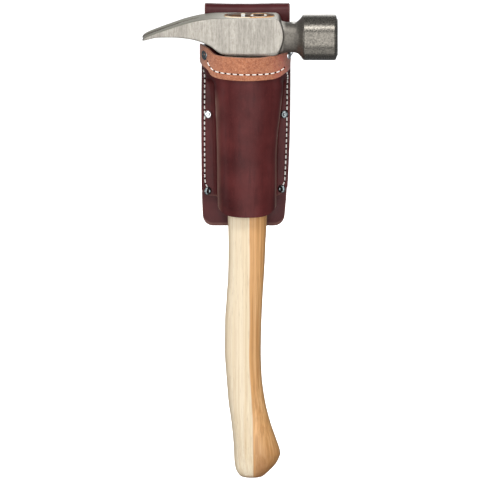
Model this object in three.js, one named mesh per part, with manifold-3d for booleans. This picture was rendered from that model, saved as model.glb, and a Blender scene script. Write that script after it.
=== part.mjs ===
// A rip-claw framing hammer with a curved axe-pattern handle, seated head-up in a leather belt
// holster. Millimetres. +Z is up, the wearer's belt runs along X, and the pocket's front faces -Y.
// The origin is the middle of the belt tunnel, at its top, where the belt's upper edge bears.

import * as THREE from 'three';
import { mergeVertices } from 'three/addons/utils/BufferGeometryUtils.js';
import Module from 'manifold-3d';

const wasm = await Module();
wasm.setup();

// ---- driving dimensions -------------------------------------------------------------------

const GAP = 0.3; // clearance between pieces that touch

// holster leather
const TUNNEL_DEPTH = 10; // front to back, inside the belt loop
const PANEL_LEATHER = 3.5;
const POCKET_LEATHER = 2.4;
const BAND_LEATHER = 1.6;
const PANEL_BACK = -TUNNEL_DEPTH / 2;
const PANEL_FRONT = PANEL_BACK - PANEL_LEATHER;
const FLANGE_FRONT = PANEL_FRONT - GAP - POCKET_LEATHER;
const POCKET_DEPTH = 33.3; // flange face to the front of the tube
const POCKET_WALL = 15; // the straight part of that, beside each crease
const POCKET_POWER = 2.5;
const PANEL_BOTTOM = -213;
const PANEL_FOOT_RADIUS = 10;
const TUNNEL_BOTTOM = -80; // where the loop's tail starts to close on the panel
const TAIL_CLOSED = -95; // where it lies flat against the panel
const TAIL_BOTTOM = -113;

// hammer
const HEAD_Y = -26.5; // middle of the head and handle, front to back
const CHEEK_HALF = 14.5;
const HEAD_TOP = -3.1;
const POLL_AXIS = -24.2;
const POLL_RADIUS = 22;
const NECK_RADIUS = 14.6;
const FACE_X = 86.4;
const EYE = { left: -22, right: 26, half: 10, power: 2.5 };
const KERF = { left: -18, right: 22, top: 2.2, foot: 0.6, depth: 32 };
const RING = { x: 11, outer: 8, inner: 5.4, depth: 13 };
const CROSS = { x: -4, half: 1.9, foot: 0.4, width: 7.5, depth: 18 };
const MAGNET = { x: 44.5, radius: 3, height: 3.2 };

// fasteners and thread
const RIVET_RADIUS = 3.6;
const RIVET_HEIGHT = 1.9;
const RIVET_SIDES = 14;
const POST_RADIUS = 1.3;
const THREAD_RADIUS = 0.55;
const STITCH = 5.2;

// Heights of the pieces that stand in the eye, above the flat top of the head.
const PROUD = { tenon: 0.6, wedge: 1.3, steel: 0.2 };

// Rivet centres, and the layers that each pair goes through.
const RIVETS = [
  { name: 'upper_left', x: -39.8, z: -44, layers: 'band' },
  { name: 'upper_right', x: 40, z: -44, layers: 'band' },
  { name: 'middle_left', x: -37.2, z: -103, layers: 'tail' },
  { name: 'middle_right', x: 35.4, z: -103, layers: 'tail' },
  { name: 'lower_left', x: -37.7, z: -178, layers: 'panel' },
  { name: 'lower_right', x: 32.9, z: -176, layers: 'panel' },
];

// Edges of the holster by height: [z, x] from the foot up.
const FLANGE_LEFT = [[-183, -41.5], [-176, -44], [-98, -44], [-56, -43.6], [-30, -43.6]];
const FLANGE_RIGHT = [[-183, 36.8], [-176, 38.6], [-98, 41.3], [-60, 43.2], [-30, 43.6]];
const TUBE_LEFT = [[-196, -28.2], [-40, -32.4]];
const TUBE_RIGHT = [[-150, 28.5], [-120, 29.2], [-103, 31.2], [-73, 33.9], [-40, 34.2]];

// Edges of the pocket along its section. The section parameter runs from -1 at the left
// flange's edge, through 0 and 1 at the two creases, to 2 at the right flange's edge.
const MOUTH = [[-1, -38], [-0.6, -34], [-0.1, -35], [0.14, -37.2], [0.24, -38.9], [0.35, -39.6],
  [0.5, -39.9], [0.7, -40.7], [0.92, -40.1], [1.2, -36.5], [1.6, -34.5], [2, -38]];
const POCKET_FOOT = [[-1, -177], [-0.7, -182], [-0.2, -183], [0, -186], [0.07, -192],
  [0.2, -196], [0.8, -196], [0.93, -192], [1, -186], [1.2, -183], [1.7, -181], [2, -176]];
const BAND_FOOT = [[-1, -53], [-0.5, -56], [0, -60], [0.25, -61.5], [0.5, -62], [0.75, -61.5],
  [1, -60], [1.5, -56], [2, -54]];
const BAND_SEAM = [[-0.45, -51], [0, -54.5], [0.25, -56], [0.5, -56.4], [0.75, -56], [1, -54.5],
  [1.45, -51]];

// The handle by height: [z, left x, right x, half thickness].
const HANDLE = [
  [HEAD_TOP + PROUD.tenon, -21.7, 25.7, 9.7],
  [-44, -21.7, 25.7, 9.7],
  [-60, -21.5, 25, 11],
  [-100, -20, 22.5, 11.6],
  [-150, -19, 20, 11.8],
  [-200, -18.6, 18.9, 11.8],
  [-225, -18, 17.7, 11.8],
  [-250, -18.2, 16.6, 11.8],
  [-282, -20, 14.7, 11.8],
  [-302, -21.3, 13.8, 11.8],
  [-332, -21.5, 13.2, 11.8],
  [-356, -20, 14, 12],
  [-381, -18, 17.3, 12.4],
  [-401, -15.3, 22.1, 13],
  [-420, -13.4, 28.5, 13.4],
  [-430, -12.8, 31.6, 13.2],
  [-433, -12.7, 31.9, 12.8],
  [-437, -12.5, 30.2, 12.2],
  [-441, -12.2, 27.6, 11.6],
  [-447, -11.2, 22, 10.6],
  [-452, -8.6, 16, 9],
  [-455, -5.4, 12.6, 6.5],
  [-456.3, -2.4, 10.1, 4],
];
const HANDLE_POWER = 2.3;

// ---- materials ----------------------------------------------------------------------------

function finish(colour, roughness, metalness) {
  return new THREE.MeshStandardMaterial({ color: colour, roughness, metalness });
}

const BURGUNDY = finish(0x5a2d2d, 0.45, 0);
const ROUGH_OUT = finish(0xcb8a67, 0.9, 0);
const THREAD = finish(0xf0ebe1, 0.8, 0);
const HICKORY = finish(0xe0c39a, 0.5, 0);
const WEDGE_WOOD = finish(0xb9793d, 0.7, 0);
const FORGED = finish(0xa8a49c, 0.4, 1);
const WEDGE_STEEL = finish(0xc9c9c6, 0.35, 1);
const MAGNET_STEEL = finish(0x9a9a98, 0.4, 1);
const NICKEL = finish(0xd6d8da, 0.2, 1);

// ---- geometry helpers ---------------------------------------------------------------------

// Straight-line reading of a table of [key, value] rows in rising order.
function read(table, key) {
  const last = table.length - 1;
  if (key <= table[0][0]) return table[0][1];
  if (key >= table[last][0]) return table[last][1];
  const i = table.findIndex((row) => row[0] >= key);
  const [k0, v0] = table[i - 1];
  const [k1, v1] = table[i];
  return THREE.MathUtils.mapLinear(key, k0, k1, v0, v1);
}

function spread(from, to, count) {
  return Array.from({ length: count + 1 }, (_, i) => THREE.MathUtils.lerp(from, to, i / count));
}

function merged(geometry) {
  geometry.deleteAttribute('normal');
  geometry.deleteAttribute('uv');
  return mergeVertices(geometry, 1e-4);
}

function toSolid(geometry) {
  const shared = merged(geometry);
  return new wasm.Manifold(new wasm.Mesh({
    numProp: 3,
    vertProperties: new Float32Array(shared.attributes.position.array),
    triVerts: new Uint32Array(shared.index.array),
  }));
}

function toGeometry(solid) {
  const mesh = solid.getMesh();
  const geometry = new THREE.BufferGeometry();
  geometry.setAttribute('position', new THREE.BufferAttribute(mesh.vertProperties, 3));
  geometry.setIndex(new THREE.BufferAttribute(mesh.triVerts, 1));
  geometry.computeVertexNormals();
  return geometry;
}

function cut(geometry, ...cutters) {
  let solid = toSolid(geometry);
  for (const cutter of cutters) solid = solid.subtract(toSolid(cutter));
  return toGeometry(solid);
}

function join(...geometries) {
  let solid = toSolid(geometries[0]);
  for (const geometry of geometries.slice(1)) solid = solid.add(toSolid(geometry));
  return toGeometry(solid);
}

function overlap(a, b) {
  return toGeometry(toSolid(a).intersect(toSolid(b)));
}

function indexed(vertices, faces) {
  const geometry = new THREE.BufferGeometry();
  geometry.setAttribute('position', new THREE.Float32BufferAttribute(vertices.flat(), 3));
  geometry.setIndex(faces.flat());
  geometry.computeVertexNormals();
  return geometry;
}

// A prism whose outline is drawn in X and Z, between two planes of Y.
function prismXZ(shape, yLow, yHigh, curveSegments = 8) {
  const depth = yHigh - yLow;
  const geometry = new THREE.ExtrudeGeometry(shape, { depth, bevelEnabled: false, curveSegments });
  return geometry.rotateX(Math.PI / 2).translate(0, yHigh, 0);
}

// A prism whose outline is drawn in Y and Z, between two planes of X.
function prismYZ(shape, xLow, xHigh, curveSegments = 8) {
  const depth = xHigh - xLow;
  const geometry = new THREE.ExtrudeGeometry(shape, { depth, bevelEnabled: false, curveSegments });
  const turn = new THREE.Matrix4().set(0, 0, 1, xLow, 1, 0, 0, 0, 0, 1, 0, 0, 0, 0, 0, 1);
  return geometry.applyMatrix4(turn);
}

// A prism whose outline is drawn in X and Y, between two heights.
function prismXY(shape, zLow, zHigh, curveSegments = 8) {
  const depth = zHigh - zLow;
  const geometry = new THREE.ExtrudeGeometry(shape, { depth, bevelEnabled: false, curveSegments });
  return geometry.translate(0, 0, zLow);
}

function outline(points) {
  return new THREE.Shape(points.map(([a, b]) => new THREE.Vector2(a, b)));
}

// A solid turned about Z from a profile of [radius, height] that rises on its outer side.
function turned(profile, segments) {
  return new THREE.LatheGeometry(outline(profile).getPoints(), segments).rotateX(Math.PI / 2);
}

// A stack of rings of equal length, each a list of [x, y, z], from the top down.
function loft(rings) {
  const count = rings[0].length;
  const vertices = rings.flat();
  const faces = [];
  for (let r = 0; r + 1 < rings.length; r += 1) {
    for (let i = 0; i < count; i += 1) {
      const j = (i + 1) % count;
      const [a, b] = [r * count + i, r * count + j];
      faces.push([a, a + count, b], [b, a + count, b + count]);
    }
  }
  const ends = [[0, 1], [rings.length - 1, -1]];
  for (const [r, turn] of ends) {
    const centre = [0, 1, 2].map((k) => rings[r].reduce((sum, p) => sum + p[k], 0) / count);
    vertices.push(centre);
    for (let i = 0; i < count; i += 1) {
      const pair = [r * count + i, r * count + ((i + 1) % count)];
      if (turn < 0) pair.reverse();
      faces.push([vertices.length - 1, ...pair]);
    }
  }
  return indexed(vertices, faces);
}

// One horizontal ring of a flattened round section.
function ovalRing(z, left, right, half, power, count) {
  const [middle, reach] = [(left + right) / 2, (right - left) / 2];
  return spread(0, 2 * Math.PI, count).slice(0, count).map((angle) => {
    const [c, s] = [Math.cos(angle), Math.sin(angle)];
    return [
      middle + reach * Math.sign(c) * Math.abs(c) ** (2 / power),
      HEAD_Y + half * Math.sign(s) * Math.abs(s) ** (2 / power),
      z,
    ];
  });
}

// A leather sheet between two grids of points, grid[height][along], with its edges closed.
function thickSheet(outer, inner) {
  const [rows, columns] = [outer.length, outer[0].length];
  const vertices = [...outer.flat(), ...inner.flat()];
  const at = (side, r, c) => (side * rows + r) * columns + c;
  const faces = [];
  const quad = (a, b, c, d) => faces.push([a, b, c], [a, c, d]);
  for (let r = 0; r + 1 < rows; r += 1) {
    for (let c = 0; c + 1 < columns; c += 1) {
      quad(at(0, r, c), at(0, r, c + 1), at(0, r + 1, c + 1), at(0, r + 1, c));
      quad(at(1, r, c), at(1, r + 1, c), at(1, r + 1, c + 1), at(1, r, c + 1));
    }
    const e = columns - 1;
    quad(at(0, r, 0), at(0, r + 1, 0), at(1, r + 1, 0), at(1, r, 0));
    quad(at(0, r, e), at(1, r, e), at(1, r + 1, e), at(0, r + 1, e));
  }
  const t = rows - 1;
  for (let c = 0; c + 1 < columns; c += 1) {
    quad(at(0, 0, c), at(1, 0, c), at(1, 0, c + 1), at(0, 0, c + 1));
    quad(at(0, t, c), at(0, t, c + 1), at(1, t, c + 1), at(1, t, c));
  }
  return indexed(vertices, faces);
}

// A round strand through a list of points.
function strand(points, steps) {
  const path = new THREE.CatmullRomCurve3(points, false, 'centripetal');
  const section = new THREE.Shape().absarc(0, 0, THREAD_RADIUS, 0, 2 * Math.PI);
  return new THREE.ExtrudeGeometry(section, { steps, extrudePath: path, curveSegments: 3 });
}

// ---- hammer -------------------------------------------------------------------------------

// Side view of the claw and cheeks, drawn in X and Z.
function headSide() {
  const side = new THREE.Shape();
  side.moveTo(-28, HEAD_TOP);
  side.splineThru([[-42.4, -4.4], [-56.4, -7.4], [-70.6, -12], [-84.7, -17], [-97, -22.4]]
    .map(([x, z]) => new THREE.Vector2(x, z)));
  side.lineTo(-100.2, -26);
  side.splineThru([[-84.7, -22.4], [-70.6, -22], [-56.4, -23.2], [-45.2, -25.9], [-36.8, -29.8],
    [-24.1, -38.3]].map(([x, z]) => new THREE.Vector2(x, z)));
  side.quadraticCurveTo(0, -43.4, 28, -39.5);
  side.quadraticCurveTo(38, -22, 31.5, -6.5);
  side.quadraticCurveTo(30.5, HEAD_TOP, 27, HEAD_TOP);
  return side;
}

// Plan of the claw and cheeks: parallel cheeks, and prongs that narrow to blunt corners.
function headPlan() {
  const half = [[40, CHEEK_HALF], [-34, CHEEK_HALF], [-60, 13.8], [-84, 12.4], [-97, 11.2],
    [-101, 8.6]];
  const front = half.map(([x, y]) => [x, HEAD_Y + y]);
  const back = half.toReversed().map(([x, y]) => [x, HEAD_Y - y]);
  return outline([...front, ...back]);
}

// End view of the block: the cheeks' lower edges are bevelled to go into the pocket's mouth.
function headEnd() {
  const [side, foot] = [CHEEK_HALF + 1, CHEEK_HALF - 3.5];
  return outline([[HEAD_Y - side, 5], [HEAD_Y - side, -36.5], [HEAD_Y - foot, -42],
    [HEAD_Y + foot, -42], [HEAD_Y + side, -36.5], [HEAD_Y + side, 5]]);
}

// The nail slot, narrow at its root and wider at the tips.
function nailSlot() {
  return outline([[-47, HEAD_Y - 1], [-45.6, HEAD_Y], [-47, HEAD_Y + 1], [-103, HEAD_Y + 4.4],
    [-103, HEAD_Y - 4.4]]);
}

// The neck and poll, turned about the head's long axis.
function neckAndPoll() {
  const neck = turned([[0, 18], [16.4, 18], [16.4, 29], [15.2, 33], [NECK_RADIUS, 38],
    [NECK_RADIUS, 45], [15.6, 50], [0, 50]], 32).scale(1, 0.9, 1);
  const poll = turned([[0, 46], [13.2, 46], [14.8, 47.4], [POLL_RADIUS, 53.6],
    [POLL_RADIUS, FACE_X - 3], [POLL_RADIUS - 0.8, FACE_X - 1.4], [POLL_RADIUS - 2.6, FACE_X - 0.6],
    [10, FACE_X - 0.15], [0, FACE_X]], 40);
  return join(neck, poll).rotateY(Math.PI / 2).translate(0, HEAD_Y, POLL_AXIS);
}

// The eye: the tenon's own oval with clearance all round.
function eyeHole() {
  const rings = [2, -46].map((z) => ovalRing(z, EYE.left, EYE.right, EYE.half, EYE.power, 32));
  return loft(rings);
}

function kerfWedge(top, gap) {
  const [wide, thin] = [KERF.top + gap, KERF.foot + gap];
  const foot = HEAD_TOP - KERF.depth - gap;
  const section = outline([[HEAD_Y - wide, top], [HEAD_Y - thin, foot], [HEAD_Y + thin, foot],
    [HEAD_Y + wide, top]]);
  return prismYZ(section, KERF.left - gap, KERF.right + gap);
}

function crossWedge(top, gap) {
  const [wide, thin] = [CROSS.half + gap, CROSS.foot + gap];
  const foot = HEAD_TOP - CROSS.depth - gap;
  const section = outline([[CROSS.x - wide, top], [CROSS.x - thin, foot],
    [CROSS.x + thin, foot], [CROSS.x + wide, top]]);
  return prismXZ(section, HEAD_Y - CROSS.width - gap, HEAD_Y + CROSS.width + gap);
}

// The ring wedge: a steel tube with a sharpened lower edge.
function ringWedge(top, gap) {
  const foot = HEAD_TOP - RING.depth - gap;
  const edge = (RING.outer + RING.inner) / 2;
  const profile = [[RING.inner - gap, top], [edge - 0.4 - gap, foot], [edge + 0.4 + gap, foot],
    [RING.outer + gap, top], [RING.inner - gap, top]];
  return turned(profile, 32).translate(RING.x, HEAD_Y, 0);
}

function magnet(top, gap) {
  const height = MAGNET.height + gap;
  return new THREE.CylinderGeometry(MAGNET.radius + gap, MAGNET.radius + gap, height, 24)
    .rotateX(Math.PI / 2).translate(MAGNET.x, HEAD_Y, top - height / 2);
}

const MAGNET_TOP = POLL_AXIS + NECK_RADIUS + 0.6;

function hammerHead() {
  const blank = overlap(prismXZ(headSide(), HEAD_Y - 16, HEAD_Y + 16), prismXY(headPlan(), -50, 5));
  const block = overlap(blank, prismYZ(headEnd(), -110, 50));
  const slot = prismXY(nailSlot(), -50, 5);
  return cut(join(block, neckAndPoll()), slot, eyeHole(), magnet(MAGNET_TOP + 2, GAP + 2));
}

function handle() {
  const rings = HANDLE.map(([z, left, right, half]) => {
    const power = z > -50 ? EYE.power : HANDLE_POWER;
    return ovalRing(z, left, right, half, power, 32);
  });
  const above = HEAD_TOP + 4;
  return cut(loft(rings), kerfWedge(above, GAP), crossWedge(above, GAP), ringWedge(above, GAP));
}

function woodWedge() {
  const above = HEAD_TOP + 4;
  return cut(kerfWedge(HEAD_TOP + PROUD.wedge, 0), crossWedge(above, GAP), ringWedge(above, GAP));
}

// ---- holster ------------------------------------------------------------------------------

const WALL_SHARE = 0.18; // share of the section parameter that each straight wall takes
const BAND_FACE = GAP + BAND_LEATHER;

// A point on the pocket's skin: along is the section parameter, lift the distance outwards.
function pocketPoint(along, z, lift) {
  const [left, right] = [read(TUBE_LEFT, z) - lift, read(TUBE_RIGHT, z) + lift];
  const y = FLANGE_FRONT - lift;
  if (along < 0) return [THREE.MathUtils.lerp(left, read(FLANGE_LEFT, z), -along), y, z];
  if (along > 1) return [THREE.MathUtils.lerp(right, read(FLANGE_RIGHT, z), along - 1), y, z];
  if (along < WALL_SHARE) return [left, y - (POCKET_WALL * along) / WALL_SHARE, z];
  if (along > 1 - WALL_SHARE) return [right, y - (POCKET_WALL * (1 - along)) / WALL_SHARE, z];
  const angle = THREE.MathUtils.mapLinear(along, WALL_SHARE, 1 - WALL_SHARE, 0, Math.PI);
  const [c, s] = [Math.cos(angle), Math.sin(angle)];
  const round = 2 / POCKET_POWER;
  const x = (left + right) / 2 - ((right - left) / 2) * Math.sign(c) * Math.abs(c) ** round;
  return [x, y - POCKET_WALL - (POCKET_DEPTH - POCKET_WALL) * Math.abs(s) ** round, z];
}

const ALONG = [-1, -0.8, -0.5, -0.2, ...spread(0, WALL_SHARE, 3),
  ...spread(WALL_SHARE, 1 - WALL_SHARE, 20).slice(1, -1), ...spread(1 - WALL_SHARE, 1, 3),
  1.2, 1.5, 1.8, 2];

// A sheet on the pocket's skin between two edges, from one lift to another.
function pocketSheet(foot, top, liftIn, liftOut, rows) {
  const grid = (lift) => spread(0, 1, rows).map((v) => ALONG.map((along) => {
    const z = THREE.MathUtils.lerp(read(foot, along), read(top, along), v);
    return pocketPoint(along, z, lift);
  }));
  return thickSheet(grid(liftOut), grid(liftIn));
}

// Faces of the stack that a rivet closes on: its front, and its back.
function stack(layers) {
  const front = layers === 'band' ? FLANGE_FRONT - BAND_FACE : FLANGE_FRONT;
  const back = layers === 'tail' ? PANEL_BACK + GAP + PANEL_LEATHER : PANEL_BACK;
  return { front: front - GAP, back: back + GAP };
}

function postHole({ x, z, layers }) {
  const { front, back } = stack(layers);
  const depth = back - front + 2;
  return new THREE.CylinderGeometry(POST_RADIUS + GAP, POST_RADIUS + GAP, depth, 12)
    .translate(x, (front + back) / 2, z);
}

function pocket() {
  const sheet = pocketSheet(POCKET_FOOT, MOUTH, -POCKET_LEATHER, 0, 10);
  return cut(sheet, ...RIVETS.map(postHole));
}

function mouthBand() {
  const sheet = pocketSheet(BAND_FOOT, MOUTH, GAP, BAND_FACE, 3);
  return cut(sheet, ...RIVETS.filter(({ layers }) => layers === 'band').map(postHole));
}

// The panel seen from the front: square top corners just eased, slanting sides, round foot.
function panelFront() {
  const [foot, r] = [PANEL_BOTTOM, PANEL_FOOT_RADIUS];
  const shape = new THREE.Shape();
  shape.moveTo(-40.7, 5);
  shape.lineTo(-40.7, -30);
  shape.lineTo(-43.4, -46);
  shape.lineTo(-43.6, -180);
  shape.lineTo(-42.6, foot + r);
  shape.quadraticCurveTo(-42.4, foot, -42.6 + r, foot);
  shape.lineTo(35.1 - r, foot);
  shape.quadraticCurveTo(35, foot, 35.3, foot + r);
  shape.lineTo(38.4, -176);
  shape.lineTo(43.2, -60);
  shape.lineTo(43.2, -46);
  shape.lineTo(40.7, -30);
  shape.lineTo(40.7, 5);
  return shape;
}

// The tail seen from behind, with rounded lower corners.
function tailOutline() {
  const r = 9;
  const shape = new THREE.Shape();
  shape.moveTo(-40.7, 5);
  shape.lineTo(-40.7, TAIL_BOTTOM + r);
  shape.quadraticCurveTo(-40.7, TAIL_BOTTOM, -40.7 + r, TAIL_BOTTOM);
  shape.lineTo(39.6 - r, TAIL_BOTTOM);
  shape.quadraticCurveTo(39.6, TAIL_BOTTOM, 39.6, TAIL_BOTTOM + r);
  shape.lineTo(40.7, -60);
  shape.lineTo(40.7, 5);
  return shape;
}

// Section of the panel, its fold and its tail, drawn in Y and Z.
function hookSection() {
  const [inner, outer] = [TUNNEL_DEPTH / 2, TUNNEL_DEPTH / 2 + PANEL_LEATHER];
  const tailFace = PANEL_BACK + GAP;
  const bend = (TUNNEL_BOTTOM + TAIL_CLOSED) / 2;
  const shape = new THREE.Shape();
  shape.moveTo(PANEL_FRONT, PANEL_BOTTOM);
  shape.lineTo(PANEL_BACK, PANEL_BOTTOM);
  shape.lineTo(PANEL_BACK, -inner);
  shape.absarc(0, -inner, inner, Math.PI, 0, true);
  shape.lineTo(inner, TUNNEL_BOTTOM);
  shape.bezierCurveTo(inner, bend, tailFace, bend, tailFace, TAIL_CLOSED);
  shape.lineTo(tailFace, TAIL_BOTTOM);
  shape.lineTo(tailFace + PANEL_LEATHER, TAIL_BOTTOM);
  shape.lineTo(tailFace + PANEL_LEATHER, TAIL_CLOSED);
  shape.bezierCurveTo(tailFace + PANEL_LEATHER, bend, outer, bend, outer, TUNNEL_BOTTOM);
  shape.lineTo(outer, -inner);
  shape.absarc(0, -inner, outer, 0, Math.PI, false);
  shape.lineTo(PANEL_FRONT, PANEL_BOTTOM);
  return shape;
}

function backPanel() {
  const seam = PANEL_BACK + GAP / 2;
  const plan = join(prismXZ(panelFront(), -20, seam), prismXZ(tailOutline(), seam, 20));
  const hook = prismYZ(hookSection(), -50, 50, 12);
  return cut(overlap(hook, plan), ...RIVETS.map(postHole));
}

// A seam's strand: it stands off the leather in mid-stitch and dips towards it at each hole.
function seam(place, from, to, count) {
  const points = spread(from, to, 2 * count).map((t, i) => place(t, i % 2 ? 0.35 : 0));
  return strand(points.map((p) => new THREE.Vector3(...p)), 4 * count);
}

const STRAND_LIFT = GAP + THREAD_RADIUS;
const SEAM_INSET = 3.2;

// A side seam follows the flange's edge and bows outwards round the rivet heads that it passes.
function sideSeam(edge, side) {
  const clear = RIVET_RADIUS + 2 * GAP + THREAD_RADIUS;
  const place = (z, rise) => {
    const bows = RIVETS.map((rivet) => {
      const across = Math.sqrt(Math.max(0, clear ** 2 - (z - rivet.z) ** 2));
      return across && side * rivet.x > 0 ? side * rivet.x + across : 0;
    });
    const x = Math.max(side * read(edge, z) - SEAM_INSET, ...bows);
    return [side * x, FLANGE_FRONT - STRAND_LIFT - rise, z];
  };
  const [foot, top] = [-171, -63];
  return seam(place, foot, top, Math.round((top - foot) / STITCH));
}

function mouthSeam() {
  const place = (along, rise) => {
    return pocketPoint(along, read(BAND_SEAM, along), BAND_FACE + STRAND_LIFT + rise);
  };
  return seam(place, -0.3, 1.3, 22);
}

// ---- rivets -------------------------------------------------------------------------------

function dome(base, direction) {
  return [[0, 1], [0.5, 0.94], [0.84, 0.66], [1, 0.25], [1, 0]]
    .map(([r, h]) => [r * RIVET_RADIUS, base + direction * h * RIVET_HEIGHT]);
}

function rivetHead({ x, z, layers }) {
  const { front, back } = stack(layers);
  const end = back + RIVET_HEIGHT - 1;
  const profile = [...dome(front, -1), [POST_RADIUS, front], [POST_RADIUS, end], [0, end]];
  return new THREE.LatheGeometry(outline(profile).getPoints(), RIVET_SIDES).translate(x, 0, z);
}

function rivetCap({ x, z, layers }) {
  const { back } = stack(layers);
  const bore = POST_RADIUS + GAP;
  const seat = back + RIVET_HEIGHT - 0.7;
  const profile = [[0, seat], [bore, seat], [bore, back], ...dome(back, 1).toReversed()];
  return new THREE.LatheGeometry(outline(profile).getPoints(), RIVET_SIDES).translate(x, 0, z);
}

// ---- assembly -----------------------------------------------------------------------------

function named(name, geometry, material) {
  const mesh = new THREE.Mesh(geometry, material);
  mesh.name = name;
  return mesh;
}

const hammer = new THREE.Group();
hammer.add(
  named('hammer_head', hammerHead(), FORGED),
  named('handle', handle(), HICKORY),
  named('wood_wedge', woodWedge(), WEDGE_WOOD),
  named('cross_wedge', crossWedge(HEAD_TOP + PROUD.steel, 0), WEDGE_STEEL),
  named('ring_wedge', ringWedge(HEAD_TOP + PROUD.steel, 0), WEDGE_STEEL),
  named('nail_magnet', magnet(MAGNET_TOP, 0), MAGNET_STEEL),
);

const holster = new THREE.Group();
holster.add(
  named('back_panel', backPanel(), BURGUNDY),
  named('pocket', pocket(), BURGUNDY),
  named('mouth_band', mouthBand(), ROUGH_OUT),
  named('left_seam', sideSeam(FLANGE_LEFT, -1), THREAD),
  named('right_seam', sideSeam(FLANGE_RIGHT, 1), THREAD),
  named('mouth_seam', mouthSeam(), THREAD),
);
for (const rivet of RIVETS) {
  holster.add(
    named(`${rivet.name}_rivet`, rivetHead(rivet), NICKEL),
    named(`${rivet.name}_cap`, rivetCap(rivet), NICKEL),
  );
}

const group = new THREE.Group();
group.add(hammer, holster);

export default group;
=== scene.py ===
"""A rip-claw framing hammer in a riveted leather belt holster: its looks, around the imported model.

Shapes are worked out in millimetres, in the model's own frame, and put into Blender in metres.
"""

from math import cos, dist, exp, hypot, pi, radians, sin, sqrt

import bmesh
import bpy
import numpy as np
from mathutils import Euler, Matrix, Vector, noise

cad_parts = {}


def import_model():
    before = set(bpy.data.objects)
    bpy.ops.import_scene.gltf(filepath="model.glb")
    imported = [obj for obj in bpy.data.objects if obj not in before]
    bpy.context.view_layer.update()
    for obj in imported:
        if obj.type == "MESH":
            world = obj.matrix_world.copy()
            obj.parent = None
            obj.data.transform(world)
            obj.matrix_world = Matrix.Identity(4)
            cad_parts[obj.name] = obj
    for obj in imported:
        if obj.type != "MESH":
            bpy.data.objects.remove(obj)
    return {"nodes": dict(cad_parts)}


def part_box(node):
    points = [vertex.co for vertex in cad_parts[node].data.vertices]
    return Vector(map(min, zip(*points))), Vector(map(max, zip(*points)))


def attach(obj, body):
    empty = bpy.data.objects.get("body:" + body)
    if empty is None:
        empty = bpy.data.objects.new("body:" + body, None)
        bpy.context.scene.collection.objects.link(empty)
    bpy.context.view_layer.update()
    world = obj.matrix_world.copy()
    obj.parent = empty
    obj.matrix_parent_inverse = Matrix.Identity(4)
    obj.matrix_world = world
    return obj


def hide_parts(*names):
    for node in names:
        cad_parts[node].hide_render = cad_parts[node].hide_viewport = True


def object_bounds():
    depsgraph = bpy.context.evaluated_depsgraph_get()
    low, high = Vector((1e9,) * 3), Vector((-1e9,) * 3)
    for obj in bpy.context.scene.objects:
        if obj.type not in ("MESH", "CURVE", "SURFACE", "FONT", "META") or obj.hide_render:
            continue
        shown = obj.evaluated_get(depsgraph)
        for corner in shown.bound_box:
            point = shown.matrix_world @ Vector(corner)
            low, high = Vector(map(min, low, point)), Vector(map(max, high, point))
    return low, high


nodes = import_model()["nodes"]
cad_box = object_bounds()

MM = 0.001


def box_mm(node):
    """A CAD node's lowest and highest corners, in millimetres."""
    low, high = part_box(node)
    return np.array(low) / MM, np.array(high) / MM


# ---- places taken from the frame ----

PANEL_LOW, PANEL_HIGH = box_mm("back_panel")
POCKET_LOW = box_mm("pocket")[0]
HEAD_LOW, HEAD_HIGH = box_mm("hammer_head")
HANDLE_LOW, HANDLE_HIGH = box_mm("handle")
RING_LOW, RING_HIGH = box_mm("ring_wedge")
CROSS_LOW, CROSS_HIGH = box_mm("cross_wedge")
KERF_LOW, KERF_HIGH = box_mm("wood_wedge")
MAGNET_LOW, MAGNET_HIGH = box_mm("nail_magnet")

RING_X = (RING_LOW[0] + RING_HIGH[0]) / 2
HEAD_Y = (HEAD_LOW[1] + HEAD_HIGH[1]) / 2
FACE_X = HEAD_HIGH[0]
MAGNET_X = (MAGNET_LOW[0] + MAGNET_HIGH[0]) / 2
HEAD_TOP = RING_HIGH[2] - 0.2  # the ring wedge stands this much above the head
POLL_RADIUS = (HEAD_HIGH[2] - HEAD_LOW[2]) / 2
POLL_AXIS = (HEAD_HIGH[2] + HEAD_LOW[2]) / 2

# Thicknesses of the leathers, and the room between two layers.
PANEL_LEATHER = 3.5
POCKET_LEATHER = 2.4
BAND_LEATHER = 1.6
GAP = 0.3
PANEL_FRONT = PANEL_LOW[1]
PANEL_BACK = PANEL_FRONT + PANEL_LEATHER
FLANGE_FRONT = PANEL_FRONT - GAP - POCKET_LEATHER
POCKET_DEPTH = FLANGE_FRONT - POCKET_LOW[1]

# ---- camera ----

CAMERA_ELEVATION = radians(13)
CAMERA_DISTANCE = 20.0
CAMERA_REACH = 60  # how far the camera sees
SENSOR_WIDTH = 36
VIEW_HEIGHT = 0.4589  # how much of the object's height fills the frame
VIEW_LIFT = 0.0036  # the aim sits this far above the middle of the object


def new_object(name, data):
    made = bpy.data.objects.new(name, data)
    bpy.context.collection.objects.link(made)
    return made


def point_along(thing, place, way):
    """Puts a camera or a lamp at a place, looking along a direction."""
    thing.location = place
    thing.rotation_mode = "QUATERNION"
    thing.rotation_quaternion = way.to_track_quat("-Z", "Y")


def make_camera():
    low, high = cad_box
    aim = Vector(((low.x + high.x) / 2, HEAD_Y * MM, (low.z + high.z) / 2 + VIEW_LIFT))
    back = Vector((0, -cos(CAMERA_ELEVATION), sin(CAMERA_ELEVATION)))
    data = bpy.data.cameras.new("camera")
    data.sensor_width = SENSOR_WIDTH
    data.lens = SENSOR_WIDTH * CAMERA_DISTANCE / VIEW_HEIGHT
    data.clip_end = CAMERA_REACH
    camera = new_object("camera", data)
    point_along(camera, aim + back * CAMERA_DISTANCE, -back)
    bpy.context.scene.camera = camera


make_camera()

# ---- numbers along curves ----


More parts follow.
